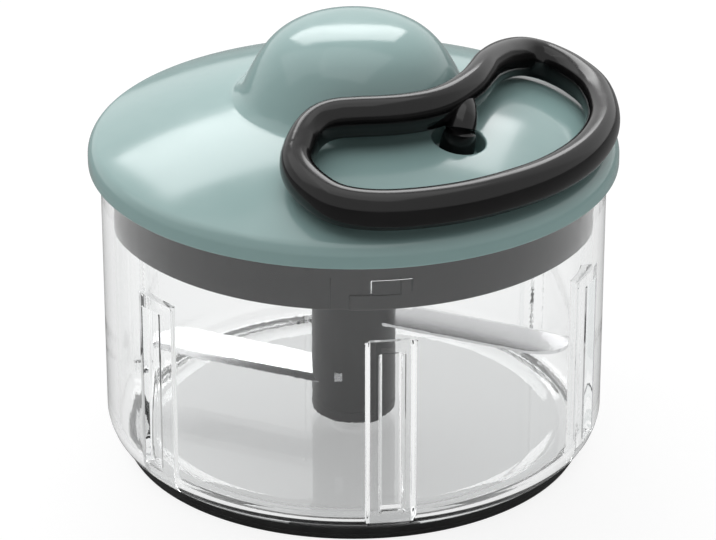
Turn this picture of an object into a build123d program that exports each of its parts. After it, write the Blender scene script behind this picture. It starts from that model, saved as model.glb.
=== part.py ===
from build123d import *
from math import acos, cos, degrees, radians, sin, sqrt
import os

# Food chopper with a loop handle on a pull cord. Millimetres, +Z up.
# The origin is the middle of the base, and the front of the object faces -Y.

# ---- driving dimensions ----
cover_radius = 82.5
total_height = 141.0
bowl_radius = 78.75
bowl_wall = 3.35
bowl_top = 96.6
floor_top = 6.5
base_ring_height = 4.2
foot_radius = 73.2

cover_wall = 2.2
cover_bottom = 95.6
dome_radius = 202.0
dome_apex = 119.5
shoulder_radius = 79.2
rim_side_top = 98.6
# The reel housing's side, from just above its foot on the dome to its top: distance from the axis, height.
housing_foot_radius = 37.8
housing_side = (
    (35.6, 117.9), (34.2, 119.9), (32.2, 123.7), (30.1, 127.4), (28.0, 130.5), (25.8, 133.1),
    (23.2, 135.4), (20.0, 137.4), (16.0, 139.1), (11.0, 140.3), (5.5, 140.85),
)

collar_radius = 74.9
collar_wall = 2.5
deck_bottom = 79.2
deck_thickness = 2.5
flange_bottom = 98.0
flange_top = 99.8

rib_count = 6
rib_azimuth = -81.5
rib_width = 13.8
rib_groove_width = 7.2
rib_inner_radius = 72.4
rib_bottom = 9.0
rib_top = 69.0
rib_skin = 2.5
lug_count = 3
lug_width = 12.3
lug_bottom = 84.6
lug_top = 89.2
lug_tip_radius = 75.08

hub_radius = 13.3
hub_bottom = 8.7
hub_top = 77.5
blade_thickness = 1.2
blade_azimuth = 0.0
lower_blade_z = 20.6
upper_blade_z = 41.9
pin_side = 2.8

# The loop's centre line, as azimuth and distance from the axis. Its height falls with the distance.
loop_places = (
    (-106.9, 57.5), (-107.4, 48.5), (-104.8, 42.2), (-98.6, 38.9), (-88.4, 37.8), (-77.0, 37.9),
    (-64.5, 38.4), (-52.0, 38.8), (-39.4, 38.7), (-23.2, 38.7), (-9.0, 39.3), (2.5, 41.0),
    (13.5, 45.2), (21.5, 50.9), (26.5, 57.5), (27.6, 63.0), (24.7, 68.6), (17.6, 73.0),
    (7.7, 75.9), (-6.4, 77.1), (-18.2, 77.5), (-30.0, 77.6), (-42.0, 77.4), (-54.0, 77.0),
    (-66.0, 77.0), (-78.0, 76.8), (-87.0, 76.1), (-94.0, 73.9), (-99.5, 69.2), (-104.0, 63.8),
)
loop_inner_radius = 38.5
loop_inner_z = 126.0
loop_slope = 0.387
handle_tube_radius = 5.4

well_azimuth = -43.8
well_radius_out = 44.0
well_radius = 8.2
well_depth = 7.4
cord_radius = 1.1

shaft_radius = 5.0
running_gap = 0.05
axle_radius = 3.0
drum_radius = 20.0
flange_radius = 27.0
winding_radius = 23.3
reel_bottom = 93.0
reel_web_bottom = 100.4

screw_circle = 60.0
screw_count = 4
screw_azimuth = 20.0
screw_radius = 1.5


def dome_z(radius):
    """Height of the cover's outer dome at a distance from the axis."""
    return dome_apex - dome_radius + sqrt(dome_radius**2 - radius**2)


def polar(radius, azimuth, z=0.0):
    """A point by its distance from the axis, its azimuth in degrees and its height."""
    return Vector(radius * cos(radians(azimuth)), radius * sin(radians(azimuth)), z)


def ring(inner, outer, bottom, top):
    """A plain round ring or disc, made in the part that is open."""
    with BuildSketch(Plane.XY.offset(bottom)) as section:
        Circle(outer)
        if inner > 0:
            Circle(inner, mode=Mode.SUBTRACT)
    extrude(section.sketch, amount=top - bottom)


def save(part, name):
    """Label a finished piece and write its STEP file."""
    part.label = name
    export_step(part, f"parts/{name}.step")


os.makedirs("parts", exist_ok=True)

# The way the handle is pulled: along the cover's own normal at the well.
pull_tilt = degrees(acos(sqrt(dome_radius**2 - well_radius_out**2) / dome_radius))
pull_axis = polar(sin(radians(pull_tilt)), well_azimuth, cos(radians(pull_tilt)))
well_mouth = polar(well_radius_out, well_azimuth, dome_z(well_radius_out))


def well_plane(height):
    """A plane across the well, at a height above its mouth along the pull."""
    return Plane(origin=well_mouth + pull_axis * height, z_dir=pull_axis)


# ==== bowl ====
inner_radius = bowl_radius - bowl_wall
rib_root_radius = inner_radius + 1.2
rib_end = 3.0
spigot_radius = 69.7
spigot_bottom = 2.6
spindle_boss_radius = 6.5
spindle_boss_top = 8.2
spindle_radius = 3.0
spindle_bottom = 4.6
spindle_top = 31.0

with BuildPart() as bowl:
    with BuildSketch(Plane.XZ):
        with BuildLine():
            Polyline(
                (0, spigot_bottom),
                (spigot_radius, spigot_bottom),
                (spigot_radius, base_ring_height),
                (foot_radius - 0.4, base_ring_height),
            )
            ThreePointArc((foot_radius - 0.4, base_ring_height), (76.9, 7.0), (bowl_radius, 12.0))
            Polyline(
                (bowl_radius, 12.0),
                (bowl_radius, bowl_top - 0.8),
                (bowl_radius - 0.8, bowl_top),
                (inner_radius, bowl_top),
                (inner_radius, 12.6),
            )
            ThreePointArc((inner_radius, 12.6), (73.9, 8.4), (70.2, floor_top))
            Polyline((70.2, floor_top), (0, floor_top), (0, spigot_bottom))
        make_face()
    revolve(axis=Axis.Z)
    ring(0, spindle_boss_radius, floor_top - 1, spindle_boss_top)
    # upright ribs inside, each with a groove outside
    with BuildSketch(Plane.XY.offset(rib_bottom)):
        with PolarLocations(0, rib_count, start_angle=rib_azimuth):
            with Locations(((rib_inner_radius + rib_root_radius) / 2, 0)):
                Rectangle(rib_root_radius - rib_inner_radius, rib_width)
    extrude(amount=rib_top - rib_bottom)
    rib_hollow = bowl_radius - rib_inner_radius - rib_skin
    with PolarLocations(bowl_radius, rib_count, start_angle=rib_azimuth):
        with Locations((0, 0, (rib_bottom + rib_top) / 2)):
            Box(2 * rib_hollow, rib_groove_width, rib_top - rib_bottom - 2 * rib_end, mode=Mode.SUBTRACT)
    # bayonet lugs
    with BuildSketch(Plane.XY.offset(lug_bottom)):
        with PolarLocations(0, lug_count, start_angle=rib_azimuth):
            with Locations(((lug_tip_radius + rib_root_radius) / 2, 0)):
                Rectangle(rib_root_radius - lug_tip_radius, lug_width)
    extrude(amount=lug_top - lug_bottom)
    with BuildSketch(Plane.XY.offset(spindle_bottom)):
        Circle(spindle_radius)
    extrude(amount=spindle_boss_top - spindle_bottom, mode=Mode.SUBTRACT)
save(bowl.part, "bowl")

with BuildPart() as base_ring:
    ring(spigot_radius + 0.05, foot_radius, 0, base_ring_height)
    bottom_edges = base_ring.edges().group_by(Axis.Z)[0]
    chamfer(bottom_edges, 0.6)
save(base_ring.part, "base_ring")

with BuildPart() as spindle_pin:
    ring(0, spindle_radius, spindle_bottom, spindle_top)
    chamfer(spindle_pin.edges().group_by(Axis.Z)[-1], 0.6)
save(spindle_pin.part, "spindle_pin")

# ==== blade unit ====
bush_radius = 6.0
bush_bottom = 10.5
bush_top = 28.5
socket_radius = 9.0
socket_bottom = 48.0
socket_top = hub_top - 0.5
hex_circumradius = 4.9


def blade_outline():
    """One sickle-shaped blade seen from above, its root in the hub, its tip along +X."""
    with BuildLine() as outline:
        Polyline((7.0, 9.0), (14.0, 6.0), (45.0, -7.0))
        Spline((45.0, -7.0), (58.5, -13.4), (67.6, -18.6), tangents=[(31, -13), (9, -6)])
        Spline((67.6, -18.6), (66.0, -24.5), (61.5, -29.2), tangents=[(2, -3), (-3, -1)])
        Spline((61.5, -29.2), (55.0, -29.6), (48.5, -27.2), tangents=[(-3, -0.6), (-5, 2)])
        Polyline((48.5, -27.2), (12.7, -11.5), (7.0, -9.0), (7.0, 9.0))
    make_face(outline.line.edges())


def make_blade(z, turn):
    """A blade at a height, turned about the hub, with its cutting edge bevelled."""
    with BuildPart() as blade:
        with BuildSketch(Plane.XY.offset(z).rotated((0, 0, turn))):
            blade_outline()
        extrude(amount=blade_thickness)
        long_edges = blade.edges().filter_by(GeomType.LINE).group_by(Axis.Z)[-1]
        chamfer(long_edges.sort_by(SortBy.LENGTH)[-2], length=blade_thickness * 0.75, length2=3.0)
    return blade.part


save(make_blade(lower_blade_z, blade_azimuth + 180), "lower_blade")
save(make_blade(upper_blade_z, blade_azimuth), "upper_blade")

blade_places = ((lower_blade_z, blade_azimuth + 180), (upper_blade_z, blade_azimuth))
pin_rise = 3.2
pin_reach = 0.35
pin_length = 6.0
pin_offset = 4.7
pin_middle = sqrt(hub_radius**2 - pin_offset**2) + pin_reach - pin_length / 2
pin_places = (
    (-pin_offset, -pin_middle, lower_blade_z + pin_rise + pin_side / 2),
    (pin_offset, pin_middle, upper_blade_z + pin_rise + pin_side / 2),
)

with BuildPart() as blade_hub:
    ring(0, hub_radius, hub_bottom, hub_top)
    chamfer(blade_hub.edges().group_by(Axis.Z)[0], 0.7)
    chamfer(blade_hub.edges().group_by(Axis.Z)[-1], 0.7)
    with BuildSketch(Plane.XY.offset(hub_bottom)):
        Circle(bush_radius)
    extrude(amount=spindle_top + 1.5 - hub_bottom, mode=Mode.SUBTRACT)
    with BuildSketch(Plane.XY.offset(socket_bottom)):
        Circle(socket_radius)
    extrude(amount=hub_top - socket_bottom, mode=Mode.SUBTRACT)
    for z, turn in blade_places:
        with BuildSketch(Plane.XY.offset(z).rotated((0, 0, turn))):
            blade_outline()
        extrude(amount=blade_thickness, mode=Mode.SUBTRACT)
    with Locations(*pin_places):
        Box(pin_side, pin_length, pin_side, mode=Mode.SUBTRACT)
save(blade_hub.part, "blade_hub")

with BuildPart() as blade_pins:
    with Locations(*pin_places):
        Box(pin_side, pin_length, pin_side)
save(blade_pins.part, "blade_pins")

with BuildPart() as hub_bush:
    ring(spindle_radius + running_gap, bush_radius, bush_bottom, bush_top)
save(hub_bush.part, "hub_bush")

with BuildPart() as drive_socket:
    ring(0, socket_radius, socket_bottom, socket_top)
    with BuildSketch(Plane.XY.offset(socket_bottom + 2)):
        RegularPolygon(hex_circumradius + 0.15, 6)
    extrude(amount=socket_top - socket_bottom - 2, mode=Mode.SUBTRACT)
save(drive_socket.part, "drive_socket")

# ==== collar with its deck ====
boss_radius = 11.0
boss_top = 92.0
shaft_bush_radius = 8.0
screw_head_radius = 3.0
screw_head_height = 1.4
groove_depth = 1.2
groove_width = 5.6
groove_turn = 11.5
groove_play = 0.5

with BuildPart() as collar:
    ring(collar_radius - collar_wall, collar_radius, deck_bottom, flange_top)
    ring(collar_radius - collar_wall, cover_radius - cover_wall - 0.5, flange_bottom, flange_top)
    ring(0, collar_radius - 1, deck_bottom, deck_bottom + deck_thickness)
    ring(0, boss_radius, deck_bottom, boss_top)
    with BuildSketch(Plane.XY.offset(deck_bottom)):
        Circle(shaft_bush_radius)
    extrude(amount=boss_top - deck_bottom, mode=Mode.SUBTRACT)
    with PolarLocations(screw_circle, screw_count, start_angle=screw_azimuth):
        with Locations((0, 0, deck_bottom)):
            Cylinder(screw_radius + 0.2, 20, mode=Mode.SUBTRACT)
            Cylinder(screw_head_radius + 0.2, 2 * screw_head_height, mode=Mode.SUBTRACT)
    # L-shaped bayonet grooves: along to the lug, and down at their far end
    long_arm = groove_width + radians(groove_turn) * collar_radius
    groove_top = lug_top + groove_play
    for arm_turn, arm_bottom, arm_width in (
        (groove_turn / 2, lug_bottom - groove_play, long_arm),
        (groove_turn, deck_bottom, groove_width),
    ):
        with PolarLocations(collar_radius, lug_count, start_angle=rib_azimuth - arm_turn):
            with Locations((0, 0, (arm_bottom + groove_top) / 2)):
                Box(2 * groove_depth, arm_width, groove_top - arm_bottom, mode=Mode.SUBTRACT)
save(collar.part, "collar")

with BuildPart() as seal_ring:
    ring(collar_radius + 0.3, bowl_radius - 0.3, bowl_top + 0.05, flange_bottom)
save(seal_ring.part, "seal_ring")

with BuildPart() as shaft_bush:
    ring(shaft_radius + running_gap, shaft_bush_radius, deck_bottom, boss_top)
save(shaft_bush.part, "shaft_bush")

screw_length = 14.0
with BuildPart() as lid_screws:
    for place in PolarLocations(screw_circle, screw_count, start_angle=screw_azimuth):
        with Locations(place.position + Vector(0, 0, deck_bottom)):
            Cylinder(screw_radius, screw_length, align=(Align.CENTER, Align.CENTER, Align.MIN))
            Cylinder(screw_head_radius, screw_head_height, align=(Align.CENTER, Align.CENTER, Align.MIN))
save(lid_screws.part, "lid_screws")

# ==== cover with the reel housing ====
boss_screw_radius = 4.0
boss_below_skin = 0.3
axle_boss_radius = 6.0
axle_boss_bottom = 122.0
axle_top = 136.0
well_cup_wall = 2.0
eyelet_radius = 3.5


def housing_outline(inset):
    """The housing's side and top, moved inwards by inset along its normals, from its foot to its top."""
    foot = housing_foot_radius
    line = ((foot, dome_z(foot)), *housing_side, (0, total_height))
    result = [(foot * (dome_radius - inset) / dome_radius, 0)]
    for place in range(1, len(line) - 1):
        run = line[place + 1][0] - line[place - 1][0]
        rise = line[place + 1][1] - line[place - 1][1]
        length = sqrt(run**2 + rise**2)
        result.append((line[place][0] - inset * rise / length, line[place][1] + inset * run / length))
    return [*result, (0, total_height - inset)]


def cover_half_section(inset, core):
    """Half of the cover's outer shape, or of its inside when inset, which leaves the core for the axle."""
    rim = cover_radius - inset
    shoulder = shoulder_radius - inset * 0.8
    dome = dome_radius - inset

    def dome_at(radius):
        return dome_apex - dome_radius + sqrt(dome**2 - radius**2)

    side = housing_outline(inset)
    foot = side[0][0]
    side[0] = (foot, dome_at(foot))
    if core > 0:
        side[-2:] = [(core, side[-2][1])]
    middle = (shoulder + foot) / 2
    foot_slope = foot / sqrt(dome**2 - foot**2)
    with BuildLine() as outline:
        Line((0, cover_bottom), (rim, cover_bottom))
        Line((rim, cover_bottom), (rim, rim_side_top))
        TangentArc((rim, rim_side_top), (shoulder, dome_at(shoulder)), tangent=(0, 1))
        ThreePointArc((shoulder, dome_at(shoulder)), (middle, dome_at(middle)), side[0])
        Spline(side, tangents=[(-1, foot_slope), (-1, 0)])
        if core > 0:
            Polyline(side[-1], (core, axle_boss_bottom), (0, axle_boss_bottom), (0, cover_bottom))
        else:
            Line(side[-1], (0, cover_bottom))
    make_face(outline.line.edges())


with BuildPart() as cover:
    with BuildSketch(Plane.XZ):
        cover_half_section(0, 0)
    revolve(axis=Axis.Z)
    with BuildSketch(Plane.XZ):
        cover_half_section(cover_wall, axle_boss_radius)
    revolve(axis=Axis.Z, mode=Mode.SUBTRACT)
    with BuildSketch(Plane.XY.offset(axle_boss_bottom)):
        Circle(axle_radius)
    extrude(amount=axle_top - axle_boss_bottom, mode=Mode.SUBTRACT)
    # screw bosses, from the deck up into the dome
    with BuildSketch(Plane.XY.offset(deck_bottom + deck_thickness)):
        with PolarLocations(screw_circle, screw_count, start_angle=screw_azimuth):
            Circle(boss_screw_radius)
            Circle(screw_radius, mode=Mode.SUBTRACT)
    extrude(amount=dome_z(screw_circle + boss_screw_radius) - boss_below_skin - deck_bottom - deck_thickness)
    # the well under the handle's stem
    with BuildSketch(well_plane(-well_depth - well_cup_wall)):
        Circle(well_radius + well_cup_wall)
    extrude(amount=well_depth + well_cup_wall - cover_wall / 2)
    with BuildSketch(well_plane(-well_depth)):
        Circle(well_radius)
    extrude(amount=well_depth + 3, mode=Mode.SUBTRACT)
    with BuildSketch(well_plane(-well_depth - well_cup_wall - 1)):
        Circle(eyelet_radius)
    extrude(amount=well_cup_wall + 2, mode=Mode.SUBTRACT)
save(cover.part, "cover")

eyelet_flange_radius = 6.2
eyelet_bore = cord_radius + 0.3
with BuildPart() as cord_eyelet:
    with BuildSketch(well_plane(-well_depth - well_cup_wall)):
        Circle(eyelet_radius)
    extrude(amount=well_cup_wall)
    with BuildSketch(well_plane(-well_depth)):
        Circle(eyelet_flange_radius)
    extrude(amount=1.2)
    with BuildSketch(well_plane(-well_depth - well_cup_wall)):
        Circle(eyelet_bore)
    extrude(amount=well_cup_wall + 1.2, mode=Mode.SUBTRACT)
save(cord_eyelet.part, "cord_eyelet")

# ==== reel, spring and axle ====
reel_web_top = 103.4
drum_bottom = reel_bottom + 1.8
drum_top = 106.8
reel_top = 108.6
cup_inner = 22.0
cup_outer = 23.8
cup_top = 119.0
counterbore = 17.6
axle_bottom = 98.4
clip_bottom = 99.0
clip_top = 100.0

with BuildPart() as cord_reel:
    ring(axle_radius + running_gap, drum_radius, reel_bottom, reel_top)
    for flange_z in (reel_bottom, drum_top):
        ring(drum_radius - 1, flange_radius, flange_z, flange_z + 1.8)
    ring(cup_inner, cup_outer, reel_top - 0.5, cup_top)
    with BuildSketch(Plane.XY.offset(reel_bottom)):
        Circle(counterbore)
    extrude(amount=reel_web_bottom - reel_bottom, mode=Mode.SUBTRACT)
    with BuildSketch(Plane.XY.offset(reel_web_top)):
        Circle(counterbore)
        Circle(axle_radius + 4, mode=Mode.SUBTRACT)
    extrude(amount=reel_top - reel_web_top - 1.6, mode=Mode.SUBTRACT)
save(cord_reel.part, "cord_reel")

turn_count = 5
turn_pitch = (drum_top - drum_bottom) / turn_count
with BuildPart() as cord_winding:
    ring(drum_radius, winding_radius, drum_bottom, drum_top)
    for turn in range(turn_count):
        with Locations((0, 0, drum_bottom + (turn + 0.5) * turn_pitch)):
            Torus(winding_radius, cord_radius)
save(cord_winding.part, "cord_winding")

with BuildPart() as reel_axle:
    ring(0, axle_radius, axle_bottom, axle_top)
    with BuildSketch(Plane.XY.offset(clip_bottom)):
        Circle(axle_radius + 1)
        Circle(axle_radius - 0.6, mode=Mode.SUBTRACT)
    extrude(amount=clip_top - clip_bottom, mode=Mode.SUBTRACT)
save(reel_axle.part, "reel_axle")


def make_clip(radius, width, bottom, top):
    """A retaining clip: a ring with a gap, sprung over a groove."""
    with BuildPart() as clip:
        ring(radius - 0.6, radius + width, bottom, top)
        with Locations((radius + width / 2, 0, (bottom + top) / 2)):
            Box(width * 3, radius * 0.9, top - bottom + 1, mode=Mode.SUBTRACT)
    return clip.part


save(make_clip(axle_radius, 2.4, clip_bottom, clip_top), "axle_clip")

arbor_radius = 5.4
spring_bottom = reel_top + 0.8
spring_height = 7.6
spring_strip = 0.5
spring_turns = 9
spring_outer = cup_inner - 1.0
spring_cover_bottom = 120.0
arbor_bottom = reel_top + 0.4

with BuildPart() as spring_arbor:
    ring(axle_radius, arbor_radius, arbor_bottom, spring_cover_bottom)
save(spring_arbor.part, "spring_arbor")

with BuildPart() as spring_cover:
    ring(axle_radius, cup_outer + 1.4, spring_cover_bottom, axle_boss_bottom)
save(spring_cover.part, "spring_cover")


spiral_steps = spring_turns * 12


def spiral_point(step, offset):
    """A point of the flat spiral, from the arbor outwards."""
    share = step / spiral_steps
    radius = arbor_radius + spring_strip / 2 + (spring_outer - arbor_radius - 1) * share + offset
    turn = 360 * spring_turns * share
    return (radius * cos(radians(turn)), radius * sin(radians(turn)))


with BuildPart() as recoil_spring:
    with BuildSketch(Plane.XY.offset(spring_bottom)):
        with BuildLine():
            inner = Spline([spiral_point(step, -spring_strip / 2) for step in range(spiral_steps + 1)])
            outer = Spline([spiral_point(step, spring_strip / 2) for step in range(spiral_steps + 1)])
            Line(inner @ 0, outer @ 0)
            Line(inner @ 1, outer @ 1)
        make_face()
    extrude(amount=spring_height)
save(recoil_spring.part, "recoil_spring")

# ==== one-way clutch and drive shaft ====
tooth_count = 12
tooth_inner = 14.6
tooth_outer = 16.3
ratchet_bottom = reel_bottom + 0.3
ratchet_top = reel_web_bottom
plate_bottom = 93.6
plate_top = 95.1
plate_radius = 13.8
shaft_bottom = 53.0
hex_top = 77.8
pawl_pivot_circle = 9.6
pawl_pivot_radius = 1.2
pawl_bottom = plate_top + 0.1
pawl_top = 98.2
pawl_count = 2

with BuildPart() as clutch_ring:
    with BuildSketch(Plane.XY.offset(ratchet_bottom)):
        Circle(counterbore)
        with BuildLine():
            for tooth in range(tooth_count):
                start = 360 / tooth_count * tooth
                end = start + 360 / tooth_count
                foot = polar(tooth_outer, start)
                tip = polar(tooth_inner, end)
                next_foot = polar(tooth_outer, end)
                Line((foot.X, foot.Y), (tip.X, tip.Y))
                Line((tip.X, tip.Y), (next_foot.X, next_foot.Y))
        make_face(mode=Mode.SUBTRACT)
    extrude(amount=ratchet_top - ratchet_bottom)
save(clutch_ring.part, "clutch_ring")

with BuildPart() as drive_shaft:
    ring(0, shaft_radius, hex_top, plate_bottom)
    ring(0, plate_radius, plate_bottom, plate_top)
    with BuildSketch(Plane.XY.offset(shaft_bottom)):
        RegularPolygon(hex_circumradius, 6)
    extrude(amount=hex_top - shaft_bottom)
    with BuildSketch(Plane.XY.offset(plate_top)):
        with PolarLocations(pawl_pivot_circle, pawl_count):
            Circle(pawl_pivot_radius)
    extrude(amount=pawl_top - plate_top)
    with BuildSketch(Plane.XY.offset(78.1)):
        Circle(shaft_radius + 1)
        Circle(shaft_radius - 0.6, mode=Mode.SUBTRACT)
    extrude(amount=1.0, mode=Mode.SUBTRACT)
save(drive_shaft.part, "drive_shaft")
save(make_clip(shaft_radius, 2.6, 78.1, 79.1), "shaft_clip")

with BuildPart() as thrust_washer:
    ring(shaft_radius + 0.2, boss_radius - 1.5, boss_top, plate_bottom - 0.1)
save(thrust_washer.part, "thrust_washer")

with BuildPart() as clutch_pawls:
    with BuildSketch(Plane.XY.offset(pawl_bottom)):
        for turn in (0, 180):
            pivot = polar(pawl_pivot_circle, turn)
            nose = polar(15.9, turn - 28.6)
            heel = polar(13.6, turn - 28.6)
            with Locations((pivot.X, pivot.Y)):
                Circle(pawl_pivot_radius + 1.2)
            back = polar(pawl_pivot_circle + 2.3, turn - 4)
            front = polar(pawl_pivot_circle - 2.2, turn - 6)
            with BuildLine():
                Polyline([(corner.X, corner.Y) for corner in (back, nose, heel, front, back)])
            make_face()
        with PolarLocations(pawl_pivot_circle, pawl_count):
            Circle(pawl_pivot_radius + running_gap, mode=Mode.SUBTRACT)
    extrude(amount=pawl_top - pawl_bottom)
save(clutch_pawls.part, "clutch_pawls")

# ==== handle and pull cord ====
def loop_point(azimuth, radius):
    """A point of the loop's centre line: a kidney bent round the housing, sloping outwards."""
    return polar(radius, azimuth, loop_inner_z - loop_slope * (radius - loop_inner_radius))


stem_azimuth = -31.5
stem_radius = 4.6
stem_straight = 1.0
stem_bore_depth = 6.0
stem_bottom = -well_depth + 1.6
stem_top = loop_point(stem_azimuth, loop_inner_radius + 0.3)
ferrule_radius = 2.4
ferrule_bottom = stem_bottom + 1.6
ferrule_length = 3.0

loop_steps = 28
rough_loop = Spline([loop_point(*place) for place in loop_places], periodic=True)

with BuildPart() as pull_handle:
    with BuildLine() as handle_path:
        Spline([rough_loop @ (step / loop_steps) for step in range(loop_steps)], periodic=True)
    loop_line = handle_path.line.edges()[0]
    for half in (loop_line.trim(0, 0.5), loop_line.trim(0.5, 1)):
        with BuildSketch(Plane(origin=half @ 0, z_dir=half % 0)):
            Circle(handle_tube_radius)
        sweep(path=half)
    # the stem, from its foot in the well up into the inner strand
    stem_foot = well_mouth + pull_axis * stem_bottom
    stem_knee = well_mouth + pull_axis * stem_straight
    with BuildLine() as stem_path:
        Line(stem_foot, stem_knee)
        TangentArc(stem_knee, stem_top, tangent=pull_axis)
    with BuildSketch(well_plane(stem_bottom)):
        Circle(stem_radius)
    sweep(path=stem_path.line)
    with BuildSketch(well_plane(stem_bottom)):
        Circle(ferrule_radius + 0.8)
    extrude(amount=stem_bore_depth, mode=Mode.SUBTRACT)
save(pull_handle.part, "pull_handle")

with BuildPart() as stem_plug:
    with BuildSketch(well_plane(stem_bottom)):
        Circle(ferrule_radius + 0.8)
        Circle(eyelet_bore, mode=Mode.SUBTRACT)
    extrude(amount=ferrule_bottom - stem_bottom)
save(stem_plug.part, "stem_plug")

with BuildPart() as cord_ferrule:
    with BuildSketch(well_plane(ferrule_bottom)):
        Circle(ferrule_radius)
        Circle(cord_radius + running_gap, mode=Mode.SUBTRACT)
    extrude(amount=ferrule_length)
save(cord_ferrule.part, "cord_ferrule")

# The cord leaves the drum along its tangent, turns up under the well and ends in the ferrule.
cord_level = (drum_bottom + drum_top) / 2
cord_turn_drop = -(well_mouth.Z - cord_level) / pull_axis.Z
under_well = well_mouth + pull_axis * cord_turn_drop
leave_radius = winding_radius + 2 * cord_radius + 0.1
under_radius = sqrt(under_well.X**2 + under_well.Y**2)
leave_azimuth = well_azimuth - degrees(acos(leave_radius / under_radius))
leave_point = polar(leave_radius, leave_azimuth, cord_level)
cord_end = well_mouth + pull_axis * (ferrule_bottom + ferrule_length)

with BuildPart() as pull_cord:
    with BuildLine() as cord_path:
        FilletPolyline(leave_point, under_well, cord_end, radius=4.0)
    with BuildSketch(Plane(origin=leave_point, z_dir=under_well - leave_point)):
        Circle(cord_radius)
    sweep(path=cord_path.line)
save(pull_cord.part, "pull_cord")
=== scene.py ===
import math

import bmesh
import bpy
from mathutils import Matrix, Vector


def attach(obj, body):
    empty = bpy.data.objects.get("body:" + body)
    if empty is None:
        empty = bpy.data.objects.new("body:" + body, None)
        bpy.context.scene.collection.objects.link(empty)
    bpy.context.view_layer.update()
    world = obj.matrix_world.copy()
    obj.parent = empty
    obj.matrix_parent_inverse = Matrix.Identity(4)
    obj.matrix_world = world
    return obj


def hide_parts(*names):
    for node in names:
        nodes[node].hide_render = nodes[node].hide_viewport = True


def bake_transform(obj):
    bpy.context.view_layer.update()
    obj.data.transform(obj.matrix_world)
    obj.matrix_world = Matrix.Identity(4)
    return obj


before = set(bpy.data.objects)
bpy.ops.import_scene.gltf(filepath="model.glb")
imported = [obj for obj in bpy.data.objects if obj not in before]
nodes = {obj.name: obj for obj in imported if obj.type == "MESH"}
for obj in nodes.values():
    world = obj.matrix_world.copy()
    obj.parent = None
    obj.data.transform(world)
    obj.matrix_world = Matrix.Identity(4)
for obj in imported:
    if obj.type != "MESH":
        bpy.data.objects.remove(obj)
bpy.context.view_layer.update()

MM = 0.001

# ---- the chopper's main sizes, in millimetres, as its solids have them ----
cover_radius = 82.47
total_height = 141.0
bowl_radius = 78.75
bowl_inner_radius = 75.4
bowl_top = 96.6
bowl_underside = 2.6
floor_top = 6.5
foot_radius = 73.2
spigot_radius = 69.75
spigot_top = 4.2
cover_wall = 2.2
cover_bottom = 95.6
dome_radius = 202.0
dome_apex = 119.5
shoulder_radius = 79.2
rim_side_top = 98.6
housing_foot_radius = 37.8
housing_side = (
    (35.6, 117.9), (34.2, 119.9), (32.2, 123.7), (30.1, 127.4), (28.0, 130.5), (25.8, 133.1),
    (23.2, 135.4), (20.0, 137.4), (16.0, 139.1), (11.0, 140.3), (5.5, 140.85),
)
rib_count = 6
rib_azimuth = -81.5
rib_inner_radius = 72.4
rib_groove_radius = 74.9
lug_count = 3
lug_tip_radius = 74.98
collar_radius = 74.9
collar_inner_radius = 72.4
collar_groove_depth = 0.45
deck_underside = 79.5
deck_top = 81.7
hub_radius = 13.3
screw_circle = 60.0
screw_count = 4
screw_azimuth = 20.0
blade_thickness = 1.2
lower_blade_z = 20.6
upper_blade_z = 41.9
# the loop's centre line: azimuth and distance from the axis
loop_places = (
    (-106.9, 57.5), (-107.4, 48.5), (-104.8, 42.2), (-98.6, 38.9), (-88.4, 37.8), (-77.0, 37.9),
    (-64.5, 38.4), (-52.0, 38.8), (-39.4, 38.7), (-23.2, 38.7), (-9.0, 39.3), (2.5, 41.0),
    (13.5, 45.2), (21.5, 50.9), (26.5, 57.5), (27.6, 63.0), (24.7, 68.6), (17.6, 73.0),
    (7.7, 75.9), (-6.4, 77.1), (-18.2, 77.5), (-30.0, 77.6), (-42.0, 77.4), (-54.0, 77.0),
    (-66.0, 77.0), (-78.0, 76.8), (-87.0, 76.1), (-94.0, 73.9), (-99.5, 69.2), (-104.0, 63.8),
)
loop_inner_radius = 38.5
loop_outer_radius = 77.0
loop_inner_z = 126.0
loop_slope = 0.387
loop_inner_section = (4.8, 6.3)
loop_outer_section = (5.3, 6.15)
stem_azimuth = -31.5
stem_end = 1.6
well_azimuth = -43.8
well_radius_out = 44.0
well_radius = 8.2
well_depth = 7.4
well_lip = 0.8
well_lip_depth = 0.9
eyelet_radius = 3.5
cord_radius = 1.1


def dome_z(radius):
    """Height of the cover's dome at a distance from the axis."""
    return dome_apex - dome_radius + math.sqrt(dome_radius**2 - radius**2)


def polar(radius, azimuth, z=0.0):
    """A point by its distance from the axis, its azimuth in degrees and its height."""
    turn = math.radians(azimuth)
    return Vector((radius * math.cos(turn), radius * math.sin(turn), z))


def ease(value, start, end):
    """0 before start, 1 after end, and a smooth step between them."""
    share = min(max((value - start) / (end - start), 0.0), 1.0)
    return share * share * (3 - 2 * share)


pull_tilt = math.degrees(math.asin(well_radius_out / dome_radius))
pull_axis = polar(math.sin(math.radians(pull_tilt)), well_azimuth, math.cos(math.radians(pull_tilt)))
well_mouth = polar(well_radius_out, well_azimuth, dome_z(well_radius_out))


# ==== shared effects ====
def effect_group(name, inputs, outputs):
    """A new shader node group with float or colour sockets, and its two end nodes."""
    group = bpy.data.node_groups.new(name, "ShaderNodeTree")
    for label, kind, value in inputs:
        socket = group.interface.new_socket(label, in_out="INPUT", socket_type=kind)
        if kind == "NodeSocketFloat":
            socket.default_value = value
    for label, kind in outputs:
        group.interface.new_socket(label, in_out="OUTPUT", socket_type=kind)
    return group, group.nodes.new("NodeGroupInput"), group.nodes.new("NodeGroupOutput")


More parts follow.
